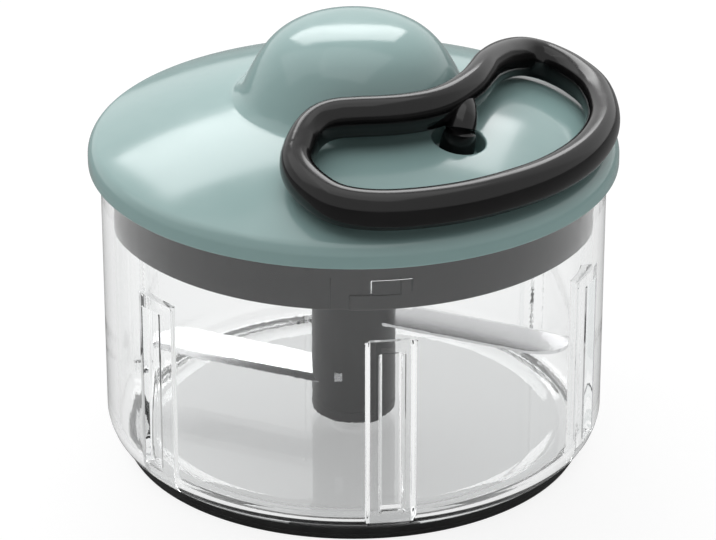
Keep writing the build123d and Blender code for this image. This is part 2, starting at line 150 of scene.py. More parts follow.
def maths(tree, operation, first, second=None, clamp=False):
    """A Math node whose inputs are sockets or numbers."""
    node = tree.nodes.new("ShaderNodeMath")
    node.operation = operation
    node.use_clamp = clamp
    for place, source in enumerate((first, second)):
        if source is None:
            continue
        if isinstance(source, (int, float)):
            node.inputs[place].default_value = source
        else:
            tree.links.new(source, node.inputs[place])
    return node.outputs[0]


def map_range(tree, value, from_min, from_max, to_min, to_max):
    """A Map Range node: the value's range is moved and stretched to another."""
    node = tree.nodes.new("ShaderNodeMapRange")
    for label, number in (("From Min", from_min), ("From Max", from_max), ("To Min", to_min), ("To Max", to_max)):
        node.inputs[label].default_value = number
    tree.links.new(value, node.inputs["Value"])
    return node


def noise(tree, vector, scale, detail=2.0, roughness=0.5):
    """A Noise texture's grey value."""
    node = tree.nodes.new("ShaderNodeTexNoise")
    node.inputs["Detail"].default_value = detail
    node.inputs["Roughness"].default_value = roughness
    if isinstance(scale, (int, float)):
        node.inputs["Scale"].default_value = scale
    else:
        tree.links.new(scale, node.inputs["Scale"])
    tree.links.new(vector, node.inputs["Vector"])
    return node.outputs[0]


def make_moulded_skin():
    """Fine mould texture with slow flow waves, and a mask of slightly rubbed places."""
    group, ins, outs = effect_group(
        "moulded_skin",
        [("Vector", "NodeSocketVector", None), ("Grain Scale", "NodeSocketFloat", 2600.0),
         ("Wave Scale", "NodeSocketFloat", 45.0), ("Rub Amount", "NodeSocketFloat", 0.3)],
        [("Height", "NodeSocketFloat"), ("Rubbed", "NodeSocketFloat")],
    )
    grain = noise(group, ins.outputs["Vector"], ins.outputs["Grain Scale"], 1.0)
    wave = noise(group, ins.outputs["Vector"], ins.outputs["Wave Scale"], 1.5)
    height = maths(group, "ADD", maths(group, "MULTIPLY", grain, 0.35), maths(group, "MULTIPLY", wave, 0.65))
    group.links.new(height, outs.inputs["Height"])
    cloud = noise(group, ins.outputs["Vector"], 95.0, 5.0, 0.62)
    rubbed = maths(group, "MULTIPLY", maths(group, "SUBTRACT", cloud, 0.42, clamp=True), 3.2, clamp=True)
    group.links.new(maths(group, "MULTIPLY", rubbed, ins.outputs["Rub Amount"]), outs.inputs["Rubbed"])
    return group


def make_hairline():
    """Fine lines of a turned, rolled or ground metal face, along one stretched direction."""
    group, ins, outs = effect_group(
        "hairline",
        [("Vector", "NodeSocketVector", None), ("Line Scale", "NodeSocketFloat", 900.0)],
        [("Height", "NodeSocketFloat"), ("Streak", "NodeSocketFloat")],
    )
    fine = noise(group, ins.outputs["Vector"], ins.outputs["Line Scale"], 2.0, 0.7)
    broad = noise(group, ins.outputs["Vector"], 120.0, 2.0)
    group.links.new(fine, outs.inputs["Height"])
    streak = maths(group, "ADD", maths(group, "MULTIPLY", fine, 0.6), maths(group, "MULTIPLY", broad, 0.4))
    group.links.new(streak, outs.inputs["Streak"])
    return group


def make_scuffs():
    """Thin hair scratches that cross at odd angles, as a mask."""
    group, ins, outs = effect_group(
        "scuffs",
        [("Vector", "NodeSocketVector", None), ("Size", "NodeSocketFloat", 70.0)],
        [("Scratch", "NodeSocketFloat")],
    )
    warp = noise(group, ins.outputs["Vector"], 18.0, 1.0)
    cells = group.nodes.new("ShaderNodeTexVoronoi")
    cells.feature = "DISTANCE_TO_EDGE"
    group.links.new(ins.outputs["Vector"], cells.inputs["Vector"])
    group.links.new(ins.outputs["Size"], cells.inputs["Scale"])
    from_line = maths(group, "MULTIPLY", cells.outputs["Distance"], 70.0)
    line = maths(group, "SUBTRACT", 1.0, from_line, clamp=True)
    patchy = maths(group, "MULTIPLY", maths(group, "SUBTRACT", warp, 0.5, clamp=True), 5.0, clamp=True)
    group.links.new(maths(group, "MULTIPLY", line, patchy), outs.inputs["Scratch"])
    return group


moulded_skin = make_moulded_skin()
hairline = make_hairline()
scuffs = make_scuffs()


# ==== materials ====
class Finish:
    """A material with its Principled shader and helpers to feed it."""

    def __init__(self, name, colour, roughness, metallic=0.0, **values):
        self.material = bpy.data.materials.new(name)
        self.material.use_nodes = True
        self.tree = self.material.node_tree
        self.shader = self.tree.nodes["Principled BSDF"]
        self.shader.inputs["Base Color"].default_value = (*colour, 1)
        self.shader.inputs["Roughness"].default_value = roughness
        self.shader.inputs["Metallic"].default_value = metallic
        for label, value in values.items():
            self.shader.inputs[label.replace("_", " ")].default_value = value
        self.place = self.tree.nodes.new("ShaderNodeTexCoord")
        self.material.diffuse_color = (*colour, 1)

    def effect(self, group, vector=None, **values):
        node = self.tree.nodes.new("ShaderNodeGroup")
        node.node_tree = group
        self.tree.links.new(vector or self.place.outputs["Object"], node.inputs["Vector"])
        for label, value in values.items():
            node.inputs[label.replace("_", " ")].default_value = value
        return node

    def stretched(self, x, y, z):
        node = self.tree.nodes.new("ShaderNodeMapping")
        node.inputs["Scale"].default_value = (x, y, z)
        self.tree.links.new(self.place.outputs["Object"], node.inputs["Vector"])
        return node.outputs[0]

    def turned(self, along=0.02):
        """Coordinates of a lathe: lines run round the axis."""
        split = self.tree.nodes.new("ShaderNodeSeparateXYZ")
        self.tree.links.new(self.place.outputs["Object"], split.inputs[0])
        x, y, z = split.outputs
        radius = maths(self.tree, "SQRT", maths(
            self.tree, "ADD", maths(self.tree, "MULTIPLY", x, x), maths(self.tree, "MULTIPLY", y, y)))
        turn = maths(self.tree, "MULTIPLY", maths(self.tree, "ARCTAN2", y, x), along * 0.1)
        join = self.tree.nodes.new("ShaderNodeCombineXYZ")
        for source, socket in zip((radius, turn, z), join.inputs):
            self.tree.links.new(source, socket)
        return join.outputs[0]

    def vary(self, label, mask, low, high):
        """The mask moves a value socket from low to high."""
        spread = map_range(self.tree, mask, 0.0, 1.0, low, high)
        self.tree.links.new(spread.outputs[0], self.shader.inputs[label])

    def tint(self, mask, low, high):
        """The mask moves the base colour from low to high."""
        mix = self.tree.nodes.new("ShaderNodeMix")
        mix.data_type = "RGBA"
        mix.inputs["A"].default_value = (*low, 1)
        mix.inputs["B"].default_value = (*high, 1)
        self.tree.links.new(mask, mix.inputs["Factor"])
        self.tree.links.new(mix.outputs["Result"], self.shader.inputs["Base Color"])

    def bump(self, height, strength, distance):
        node = self.tree.nodes.new("ShaderNodeBump")
        node.inputs["Strength"].default_value = strength
        node.inputs["Distance"].default_value = distance
        self.tree.links.new(height, node.inputs["Height"])
        self.tree.links.new(node.outputs[0], self.shader.inputs["Normal"])


def moulded(name, low, high, roughness, rough_spread, grain, depth, rub, wave=45.0, **values):
    """An injection-moulded plastic: fine skin, faint rubbing and a few hair scratches."""
    finish = Finish(name, low, roughness, **values)
    skin = finish.effect(moulded_skin, Grain_Scale=grain, Wave_Scale=wave, Rub_Amount=rub)
    scratch = finish.effect(scuffs, Size=55.0)
    finish.tint(skin.outputs["Rubbed"], low, high)
    worn = maths(finish.tree, "ADD", skin.outputs["Rubbed"], maths(
        finish.tree, "MULTIPLY", scratch.outputs["Scratch"], 0.35), clamp=True)
    finish.vary("Roughness", worn, roughness, roughness + rough_spread)
    finish.bump(skin.outputs["Height"], 1.0, depth)
    return finish


def metal(name, low, high, roughness, rough_spread, vector_kind, lines, depth):
    """A bare metal with hairlines along its making."""
    finish = Finish(name, low, roughness, metallic=1.0)
    vector = finish.turned() if vector_kind == "turned" else finish.stretched(*vector_kind)
    grain = finish.effect(hairline, vector, Line_Scale=lines)
    finish.tint(grain.outputs["Streak"], low, high)
    finish.vary("Roughness", grain.outputs["Streak"], roughness, roughness + rough_spread)
    finish.bump(grain.outputs["Height"], 0.6, depth)
    return finish


mint = moulded("mint_gloss", (0.39, 0.585, 0.57), (0.41, 0.60, 0.585), 0.13, 0.10, 2400.0, 0.000012, 0.5,
               Coat_Weight=0.1, Coat_Roughness=0.05)
handle_black = moulded("handle_black", (0.005, 0.0045, 0.0048), (0.010, 0.009, 0.0095), 0.13, 0.12, 3000.0,
                       0.00001, 0.6, Specular_IOR_Level=0.42)
dark_grey = moulded("dark_grey_satin", (0.046, 0.046, 0.047), (0.062, 0.062, 0.064), 0.36, 0.14, 3200.0,
                    0.000018, 0.5)
white_acetal = moulded("white_acetal", (0.72, 0.72, 0.70), (0.78, 0.78, 0.76), 0.34, 0.12, 2600.0,
                       0.00001, 0.4)
black_inner = moulded("black_inner_plastic", (0.02, 0.02, 0.021), (0.035, 0.035, 0.036), 0.32, 0.12,
                      2600.0, 0.000012, 0.5)
rubber = moulded("black_rubber", (0.016, 0.016, 0.016), (0.036, 0.036, 0.035), 0.52, 0.2, 1800.0,
                 0.00003, 0.8, Specular_IOR_Level=0.4)
blade_steel = metal("blade_steel", (0.66, 0.66, 0.67), (0.80, 0.80, 0.81), 0.16, 0.14, (40, 1.2, 1), 40.0,
                    0.000006)
turned_steel = metal("turned_steel", (0.42, 0.42, 0.43), (0.56, 0.56, 0.57), 0.2, 0.16, "turned", 2600.0,
                     0.000008)
spring_steel = metal("spring_steel", (0.22, 0.23, 0.26), (0.36, 0.37, 0.41), 0.26, 0.14, (1, 1, 30), 60.0,
                     0.000006)


def make_clear_plastic():
    """Clear moulded bowl plastic. Lamps shine through it."""
    finish = Finish("clear_plastic", (0.955, 0.96, 0.96), 0.015, IOR=1.5, Transmission_Weight=1.0)
    skin = finish.effect(moulded_skin, Grain_Scale=900.0, Wave_Scale=26.0, Rub_Amount=0.25)
    finish.bump(skin.outputs["Height"], 1.0, 0.00001)
    finish.vary("Roughness", skin.outputs["Rubbed"], 0.004, 0.05)
    tree = finish.tree
    path = tree.nodes.new("ShaderNodeLightPath")
    through = tree.nodes.new("ShaderNodeBsdfTransparent")
    through.inputs["Color"].default_value = (0.95, 0.955, 0.955, 1)
    mix = tree.nodes.new("ShaderNodeMixShader")
    shadow_or_diffuse = maths(tree, "MAXIMUM", path.outputs["Is Shadow Ray"], path.outputs["Is Diffuse Ray"])
    # rays that have passed many walls go straight on, and don't end in black
    lost = maths(tree, "GREATER_THAN", path.outputs["Ray Depth"], 4.5)
    tree.links.new(maths(tree, "MAXIMUM", shadow_or_diffuse, lost), mix.inputs[0])
    tree.links.new(finish.shader.outputs[0], mix.inputs[1])
    tree.links.new(through.outputs[0], mix.inputs[2])
    tree.links.new(mix.outputs[0], tree.nodes["Material Output"].inputs["Surface"])
    return finish


clear_plastic = make_clear_plastic()


def make_cord_finish():
    """Braided cord: two sets of strands that cross, from the piece's own UV map."""
    finish = Finish("braided_cord", (0.70, 0.69, 0.66), 0.7, Sheen_Weight=0.2)
    tree = finish.tree
    split = tree.nodes.new("ShaderNodeSeparateXYZ")
    tree.links.new(finish.place.outputs["UV"], split.inputs[0])
    around, along, _ = split.outputs
    strands = []
    for sign in (1, -1):
        slant = maths(tree, "ADD", maths(tree, "MULTIPLY", around, 8.0 * sign), maths(
            tree, "MULTIPLY", along, 8.0))
        strands.append(maths(tree, "ABSOLUTE", maths(tree, "SINE", maths(tree, "MULTIPLY", slant, math.pi))))
    weave_and_gap_shade = maths(tree, "MAXIMUM", *strands)
    # painted shade: the gaps between the strands are darker
    finish.tint(weave_and_gap_shade, (0.42, 0.41, 0.39), (0.74, 0.73, 0.70))
    finish.bump(weave_and_gap_shade, 0.8, 0.00012)
    return finish


cord_finish = make_cord_finish()


# ==== mesh tools ====
def put_in_scene(name, data):
    """A new object in the scene, with its mesh, lamp or camera."""
    thing = bpy.data.objects.new(name, data)
    bpy.context.scene.collection.objects.link(thing)
    return thing


def new_piece(name, mesh, finish):
    """A piece of the chopper, in one finish."""
    piece = put_in_scene(name, mesh)
    mesh.materials.clear()
    mesh.materials.append(finish.material)
    return piece


def mesh_from(name, points, faces):
    """A mesh from millimetre points, with its faces turned outwards."""
    mesh = bpy.data.meshes.new(name)
    mesh.from_pydata([Vector(point) * MM for point in points], [], faces)
    shape = bmesh.new()
    shape.from_mesh(mesh)
    bmesh.ops.remove_doubles(shape, verts=shape.verts, dist=1e-7)
    bmesh.ops.recalc_face_normals(shape, faces=shape.faces)
    shape.to_mesh(mesh)
    shape.free()
    return mesh


def soft_shade(mesh, angle=32.0):
    """Smooth shading that keeps real corners crisp."""
    mesh.shade_smooth()
    mesh.set_sharp_from_angle(angle=math.radians(angle))


def rounded_outline(corners, steps=5):
    """Corners as (x, y) or (x, y, radius), each radius turned into a short arc."""
    line = []
    count = len(corners)
    for place, corner in enumerate(corners):
        here = Vector(corner[:2])
        radius = corner[2] if len(corner) > 2 else 0
        if radius == 0:
            line.append(tuple(here))
            continue
        back = Vector(corners[place - 1][:2]) - here
        ahead = Vector(corners[(place + 1) % count][:2]) - here
        half = back.angle(ahead) / 2
        reach = min(radius / math.tan(half), back.length * 0.49, ahead.length * 0.49)
        start = here + back.normalized() * reach
        end = here + ahead.normalized() * reach
        for step in range(steps + 1):
            share = step / steps
            point = start * (1 - share) ** 2 + here * (2 * share * (1 - share)) + end * share**2
            line.append(tuple(point))
    return line


def upright(radius, *heights):
    """Points of an outline at one distance from the axis."""
    return [(radius, height) for height in heights]


def level(height, *radii):
    """Points of an outline at one height."""
    return [(radius, height) for radius in radii]


def lathe_mesh(name, outline, steps=180, axis_place=None, axis=None, start=0.0):
    """A closed outline of (radius, height) turned round the axis. Points on the axis are poles."""
    points = []
    faces = []
    rows = []
    if axis is None:
        along, side, across = Vector((0, 0, 1)), Vector((1, 0, 0)), Vector((0, 1, 0))
        middle = Vector((0, 0, 0))
    else:
        along = axis.normalized()
        side = along.orthogonal().normalized()
        across = along.cross(side)
        middle = axis_place
    for radius, height in outline:
        if radius < 1e-6:
            rows.append([len(points)] * steps)
            points.append(middle + along * height)
            continue
        row = []
        for step in range(steps):
            turn = math.radians(start) + 2 * math.pi * step / steps
            row.append(len(points))
            outward = side * math.cos(turn) + across * math.sin(turn)
            points.append(middle + along * height + outward * radius)
        rows.append(row)
    for place in range(len(rows)):
        low, high = rows[place - 1], rows[place]
        for step in range(steps):
            ahead = (step + 1) % steps
            corner = [low[step], low[ahead], high[ahead], high[step]]
            corner = [v for at, v in enumerate(corner) if v not in corner[:at]]
            if len(corner) > 2:
                faces.append(corner)
    return mesh_from(name, points, faces)


def polar_mesh(name, outline, azimuths, shape):
    """A turned outline whose radius and height are moved by shape(azimuth, radius, height, row)."""
    points = []
    faces = []
    rows = []
    for row_number, (radius, height) in enumerate(outline):
        if radius < 1e-6:
            rows.append([len(points)] * len(azimuths))
            points.append(Vector((0, 0, height)))
            continue
        row = []
        for azimuth in azimuths:
            row.append(len(points))
            points.append(polar(shape(azimuth, radius, height, row_number), azimuth, height))
        rows.append(row)
    count = len(azimuths)
    for place in range(len(rows)):
        low, high = rows[place - 1], rows[place]
        for step in range(count):
            ahead = (step + 1) % count
            corner = [low[step], low[ahead], high[ahead], high[step]]
            corner = [v for at, v in enumerate(corner) if v not in corner[:at]]
            if len(corner) > 2:
                faces.append(corner)
    return mesh_from(name, points, faces)


def tube_mesh(name, path, radii, closed=False, sides=40, power=2.0):
    """A tube along a list of points. radii gives (half width, half height) for each point."""
    points = []
    faces = []
    count = len(path)
    for place, here in enumerate(path):
        back = path[place - 1] if closed or place > 0 else here
        ahead = path[(place + 1) % count] if closed or place < count - 1 else here
        tangent = (ahead - back).normalized()
        up = Vector((0, 0, 1))
        if abs(tangent.z) > 0.9:
            up = polar(1, well_azimuth)
        up = (up - tangent * up.dot(tangent)).normalized()
        side = tangent.cross(up)
        wide, high = radii[place]
        for step in range(sides):
            turn = 2 * math.pi * step / sides
            x, y = math.cos(turn), math.sin(turn)
            x = math.copysign(abs(x) ** (2 / power), x)
            y = math.copysign(abs(y) ** (2 / power), y)
            points.append(here + side * (x * wide) + up * (y * high))
    spans = count if closed else count - 1
    for place in range(spans):
        ahead = (place + 1) % count
        for step in range(sides):
            beside = (step + 1) % sides
            faces.append((place * sides + step, place * sides + beside,
                          ahead * sides + beside, ahead * sides + step))
    if not closed:
        faces.append(tuple(range(sides))[::-1])
        faces.append(tuple((count - 1) * sides + step for step in range(sides)))
    return mesh_from(name, points, faces)


def smooth_line(points, parts=10):
    """A smooth line through points, by cubic spans."""
    line = []
    for place in range(len(points) - 1):
        before = Vector(points[max(place - 1, 0)])
        start, end = Vector(points[place]), Vector(points[place + 1])
        after = Vector(points[min(place + 2, len(points) - 1)])
        for part in range(parts):
            t = part / parts
            line.append(0.5 * (2 * start + (end - before) * t + (2 * before - 5 * start + 4 * end - after) * t * t
                               + (3 * start - before - 3 * end + after) * t**3))
    line.append(Vector(points[-1]))
    return line


def evenly(line, count):
    """The line resampled to evenly spaced points."""
    lengths = [0.0]
    for place in range(1, len(line)):
        lengths.append(lengths[-1] + (line[place] - line[place - 1]).length)
    result = []
    place = 0
    for step in range(count):
        want = lengths[-1] * step / (count - 1)
        while place < len(line) - 2 and lengths[place + 1] < want:
            place += 1
        share = (want - lengths[place]) / max(lengths[place + 1] - lengths[place], 1e-9)
        result.append(line[place].lerp(line[place + 1], min(share, 1.0)))
    return result


def joined(name, meshes):
    """Several millimetre-true meshes in one mesh."""
    shape = bmesh.new()
    for mesh in meshes:
        shape.from_mesh(mesh)
    result = bpy.data.meshes.new(name)
    shape.to_mesh(result)
    shape.free()
    return result


def carved(mesh, tool_mesh, operation):
    """The mesh with a tool cut from it or joined to it."""
    body = put_in_scene("carved_body", mesh)
    tool = put_in_scene("carving_tool", tool_mesh)
    modifier = body.modifiers.new("carve", "BOOLEAN")
    modifier.operation = operation
    modifier.solver = "EXACT"
    modifier.object = tool
    depsgraph = bpy.context.evaluated_depsgraph_get()
    result = bpy.data.meshes.new_from_object(body.evaluated_get(depsgraph), depsgraph=depsgraph)
    bpy.data.objects.remove(body)
    bpy.data.objects.remove(tool)
    bpy.data.meshes.remove(mesh)
    bpy.data.meshes.remove(tool_mesh)
    return result


def stand_for(piece, body, node):
    """The piece rides on a body in place of a solid, which is hidden."""
    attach(piece, body)
    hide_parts(node)


def ring_of_copies(name, template, finish, count, radius, start, height):
    """Copies of a template mesh round the axis, by a node tree, as one plain mesh."""
    tree = bpy.data.node_groups.new(name + "_tree", "GeometryNodeTree")
    face = tree.interface
    face.new_socket("Geometry", in_out="OUTPUT", socket_type="NodeSocketGeometry")
    wanted = {}
    for label, kind, value in (
        ("Count", "NodeSocketInt", count), ("Circle Radius", "NodeSocketFloat", radius * MM),
        ("Start Turn", "NodeSocketFloat", math.radians(start)), ("Height", "NodeSocketFloat", height * MM),
        ("Copied Piece", "NodeSocketObject", template), ("Finish", "NodeSocketMaterial", finish.material),
    ):
        wanted[face.new_socket(label, in_out="INPUT", socket_type=kind).identifier] = value
    ins, outs = tree.nodes.new("NodeGroupInput"), tree.nodes.new("NodeGroupOutput")
    circle = tree.nodes.new("GeometryNodeMeshCircle")
    tree.links.new(ins.outputs["Count"], circle.inputs["Vertices"])
    tree.links.new(ins.outputs["Circle Radius"], circle.inputs["Radius"])
    turn_all = tree.nodes.new("ShaderNodeCombineXYZ")
    tree.links.new(ins.outputs["Start Turn"], turn_all.inputs["Z"])
    lift = tree.nodes.new("ShaderNodeCombineXYZ")
    tree.links.new(ins.outputs["Height"], lift.inputs["Z"])
    placed = tree.nodes.new("GeometryNodeTransform")
    tree.links.new(circle.outputs["Mesh"], placed.inputs["Geometry"])
    tree.links.new(turn_all.outputs[0], placed.inputs["Rotation"])
    tree.links.new(lift.outputs[0], placed.inputs["Translation"])
    source = tree.nodes.new("GeometryNodeObjectInfo")
    tree.links.new(ins.outputs["Copied Piece"], source.inputs["Object"])
    index = tree.nodes.new("GeometryNodeInputIndex")
    share = maths(tree, "DIVIDE", index.outputs[0], ins.outputs["Count"])
    own_turn = maths(tree, "ADD", maths(tree, "MULTIPLY", share, 2 * math.pi), ins.outputs["Start Turn"])
    own_turn_vector = tree.nodes.new("ShaderNodeCombineXYZ")
    tree.links.new(own_turn, own_turn_vector.inputs["Z"])
    copies = tree.nodes.new("GeometryNodeInstanceOnPoints")
    tree.links.new(placed.outputs[0], copies.inputs["Points"])
    tree.links.new(source.outputs["Geometry"], copies.inputs["Instance"])
    tree.links.new(own_turn_vector.outputs[0], copies.inputs["Rotation"])
    real = tree.nodes.new("GeometryNodeRealizeInstances")
    tree.links.new(copies.outputs[0], real.inputs[0])
    painted = tree.nodes.new("GeometryNodeSetMaterial")
    tree.links.new(real.outputs[0], painted.inputs["Geometry"])
    tree.links.new(ins.outputs["Finish"], painted.inputs["Material"])
    tree.links.new(painted.outputs[0], outs.inputs[0])
    carrier = new_piece(name, bpy.data.meshes.new(name), finish)
    modifier = carrier.modifiers.new(name, "NODES")
    modifier.node_group = tree
    for identifier, value in wanted.items():
        modifier[identifier] = value
    bpy.context.view_layer.update()
    depsgraph = bpy.context.evaluated_depsgraph_get()
    result = bpy.data.meshes.new_from_object(carrier.evaluated_get(depsgraph), depsgraph=depsgraph)
    carrier.modifiers.clear()
    carrier.data = result
    bpy.data.objects.remove(template)
    return carrier


# ==== camera ====
camera_target = Vector((0.001383, 0.0, 0.05609))
camera_distance = 1.1801
camera_pitch = 25.632
camera_data = bpy.data.cameras.new("camera")
camera_data.sensor_width = 36.0
camera_data.lens = 187.995
camera = put_in_scene("camera", camera_data)
pitch = math.radians(camera_pitch)
camera.location = camera_target + Vector((0, -math.cos(pitch), math.sin(pitch))) * camera_distance
camera.rotation_euler = (math.radians(90) - pitch, 0, 0)
bpy.context.scene.camera = camera

# ==== bowl ====
# degrees from a rib's middle at which its groove and its sides need a row of points
rib_steps = (0.8, 1.5, 1.95, 2.15, 2.35, 2.55, 2.75, 3.0, 3.5, 4.0, 4.4, 4.65, 4.85, 5.05, 5.25, 5.45, 5.65,
             5.9, 6.4)
groove_edge = (1.95, 3.0)
groove_foot = (12.0, 12.8)
groove_crown = (65.1, 66.0)
rib_edge = (4.65, 5.9)
rib_crown = (68.2, 69.0)
lug_edge = (4.4, 4.85)
lug_foot = (84.5, 84.9)
lug_crown = (88.9, 89.3)
gap_parts = 22
spacing = 360 / rib_count
bowl_azimuths = []
for rib in range(rib_count):
    middle = rib_azimuth + rib * spacing
    bowl_azimuths += [middle - step for step in reversed(rib_steps)] + [middle]
    bowl_azimuths += [middle + step for step in rib_steps]
    gap_start = middle + rib_steps[-1]
    gap = spacing - 2 * rib_steps[-1]
    bowl_azimuths += [gap_start + gap * part / gap_parts for part in range(1, gap_parts)]

bowl_outside = [
    *level(bowl_underside, 0, 20, 42, 61.0, 69.0), (69.6, 2.9), (69.6, 4.0), (69.9, 4.25), (72.6, 4.25),
    (74.1, 4.75), (75.5, 5.65), (76.7, 6.8), (77.65, 8.3), (78.3, 10.0), (78.65, 11.4),
    *upright(bowl_radius, 12.0, 12.25, 12.5, 12.8, 20, 28, 36, 44, 52, 60, 64, 65.1, 65.4, 65.7, 66, 66.5,
             70, 76, 82, 88, 93, 95.7),
    (78.6, 96.25), (78.2, 96.55), (77.7, bowl_top)]
bowl_inside = [
    (76.2, bowl_top), (75.7, 96.5),
    *upright(bowl_inner_radius, 96.2, 93, 89.6, 89.2, 88.95, 88.7, 87, 85.1, 84.85, 84.6, 84.2, 78, 72, 69.4,
             69, 68.75, 68.5, 68.2, 67, 60, 52, 44, 36, 28, 20, 15, 12.6),
    (75.25, 11.3), (74.8, 9.9), (74.1, 8.65), (73.1, 7.65), (71.9, 6.95), (70.6, 6.6),
    (69.6, floor_top), (66.4, floor_top), (66.0, 6.35), (65.6, 6.35),
    *level(floor_top, 65.2, 61, 52, 40, 26, 14, 7.4),
    (6.9, 6.65), (6.6, 7.1), (6.5, 7.7), (6.3, 8.1), (5.9, 8.2), (3.05, 8.2), (3.05, 4.6), (0, 4.6)]
inside_start = len(bowl_outside)


def rib_turn(azimuth, every):
    """How far an azimuth is from the nearest rib, or from the nearest bayonet lug."""
    step = 360 / every
    return abs((azimuth - rib_azimuth + step / 2) % step - step / 2)


def bowl_shape(azimuth, radius, height, row):
    """Upright ribs inside, a groove behind each, and three bayonet lugs."""
    from_rib = rib_turn(azimuth, rib_count)
    if row < inside_start:
        across = 1 - ease(from_rib, *groove_edge)
        up = ease(height, *groove_foot) * (1 - ease(height, *groove_crown))
        return radius - max(radius - rib_groove_radius, 0) * across * up
    if height < floor_top - 0.1 or height > bowl_top - 1.6 or radius < 60:
        return radius
    across = 1 - ease(from_rib, *rib_edge)
    up = 1 - ease(height, *rib_crown)
    ribbed = radius - max(radius - rib_inner_radius, 0) * across * up
    lug_across = 1 - ease(rib_turn(azimuth, lug_count), *lug_edge)
    lug_up = ease(height, *lug_foot) * (1 - ease(height, *lug_crown))
    return ribbed - max(ribbed - lug_tip_radius, 0) * lug_across * lug_up


bowl_mesh = polar_mesh("bowl_moulding", bowl_outside + bowl_inside, bowl_azimuths, bowl_shape)
soft_shade(bowl_mesh, 30)
bowl = new_piece("bowl_moulding", bowl_mesh, clear_plastic)
stand_for(bowl, "bowl", "bowl")

# ==== base ring ====
ring_outline = rounded_outline([
    (spigot_radius, spigot_top, 0.3), (spigot_radius, 0.8, 0.2), (72.0, 0.8, 0.2), (72.2, 0.0, 0.2),
    (72.6, 0.0, 0.4), (foot_radius, 1.0, 0.6), (foot_radius, 1.9, 0.1), (72.95, 2.05, 0.1),
    (foot_radius, 2.2, 0.1), (foot_radius, 4.0, 0.3), (72.9, spigot_top, 0.2)], 4)
ring_mesh = lathe_mesh("foot_ring", ring_outline, 240)
soft_shade(ring_mesh, 40)
foot_ring = new_piece("foot_ring", ring_mesh, rubber)
stand_for(foot_ring, "bowl", "base_ring")

pip_count = 60
pip_circle = 70.9
pip_path = [Vector((-0.8, 0, 0.9)), Vector((0.8, 0, 0.9))]
pip_mesh = tube_mesh("grip_pip", pip_path, [(0.55, 0.5)] * 2, sides=12, power=3)
pip = put_in_scene("grip_pip", pip_mesh)
grip_pips = ring_of_copies("grip_pips", pip, rubber, pip_count, pip_circle, 0.0, -0.35)
soft_shade(grip_pips.data, 35)
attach(grip_pips, "bowl")

# ==== collar with its deck ====
# the bayonet groove's edges, in degrees from the lug's middle
groove_start, groove_turn, groove_stop = -13.64, -9.36, 2.14
lug_spacing = 360 / lug_count
groove_marks = []
for lug in range(lug_count):
    middle = rib_azimuth + lug * lug_spacing
    for edge in (groove_start, groove_turn, groove_stop):
        groove_marks += [middle + edge + step for step in (-0.35, -0.12, 0.0, 0.12, 0.35)]
collar_azimuths = sorted({round((mark + 360) % 360, 3) for mark in groove_marks} | {
    round(step * 2.0 + 0.05, 3) for step in range(180)})
collar_azimuths = [mark for place, mark in enumerate(collar_azimuths)
                   if mark - collar_azimuths[place - 1] > 0.06 or place == 0]

collar_outline = [
    (8.05, 79.2), (10.4, 79.2), (10.8, 79.45), *level(deck_underside, 11.4, 14, 40, 56.4, 63.6, 70),
    (70.5, 79.2), (72, 79.2), (74.2, 79.2), (74.6, 79.3), (74.85, deck_underside),
    *upright(collar_radius, 79.9, 81, 82.5, 83.9, 84.0, 84.1, 84.2, 84.4, 86, 88, 89.4, 89.6, 89.7, 89.8, 90, 93,
             96, 97.6),
    (75.1, 97.9), (75.4, 98.0), (77, 98), (79.3, 98), (79.7, 98.15), (79.8, 98.5), (79.8, 99.4), (79.6, 99.8),
    (76, 99.8), (72.6, 99.8), *upright(collar_inner_radius, 99.6, 90, 82.2), (72.0, 81.75),
    *level(deck_top, 71.4, 60, 40, 12), (11.2, 81.8), *upright(11, 82.3, 91.6), (10.7, 92), (8.2, 92),
    (8.05, 91.8)]
collar_outer_rows = range(12, 32)


def collar_shape(azimuth, radius, height, row):
    """L-shaped bayonet grooves: one arm along, one arm down to the edge."""
    if row not in collar_outer_rows:
        return radius
    from_lug = (azimuth - rib_azimuth + lug_spacing / 2) % lug_spacing - lug_spacing / 2
    started = ease(from_lug, -13.8, -13.5)
    below_crown = 1 - ease(height, 89.6, 89.8)
    along = started * (1 - ease(from_lug, 1.98, 2.28)) * ease(height, 84.0, 84.2) * below_crown
    down = started * (1 - ease(from_lug, -9.5, -9.2)) * below_crown
    return radius - collar_groove_depth * max(along, down)


collar_mesh = polar_mesh("collar_moulding", collar_outline, collar_azimuths, collar_shape)
soft_shade(collar_mesh, 30)
collar = new_piece("collar_moulding", collar_mesh, dark_grey)
stand_for(collar, "lid", "collar")


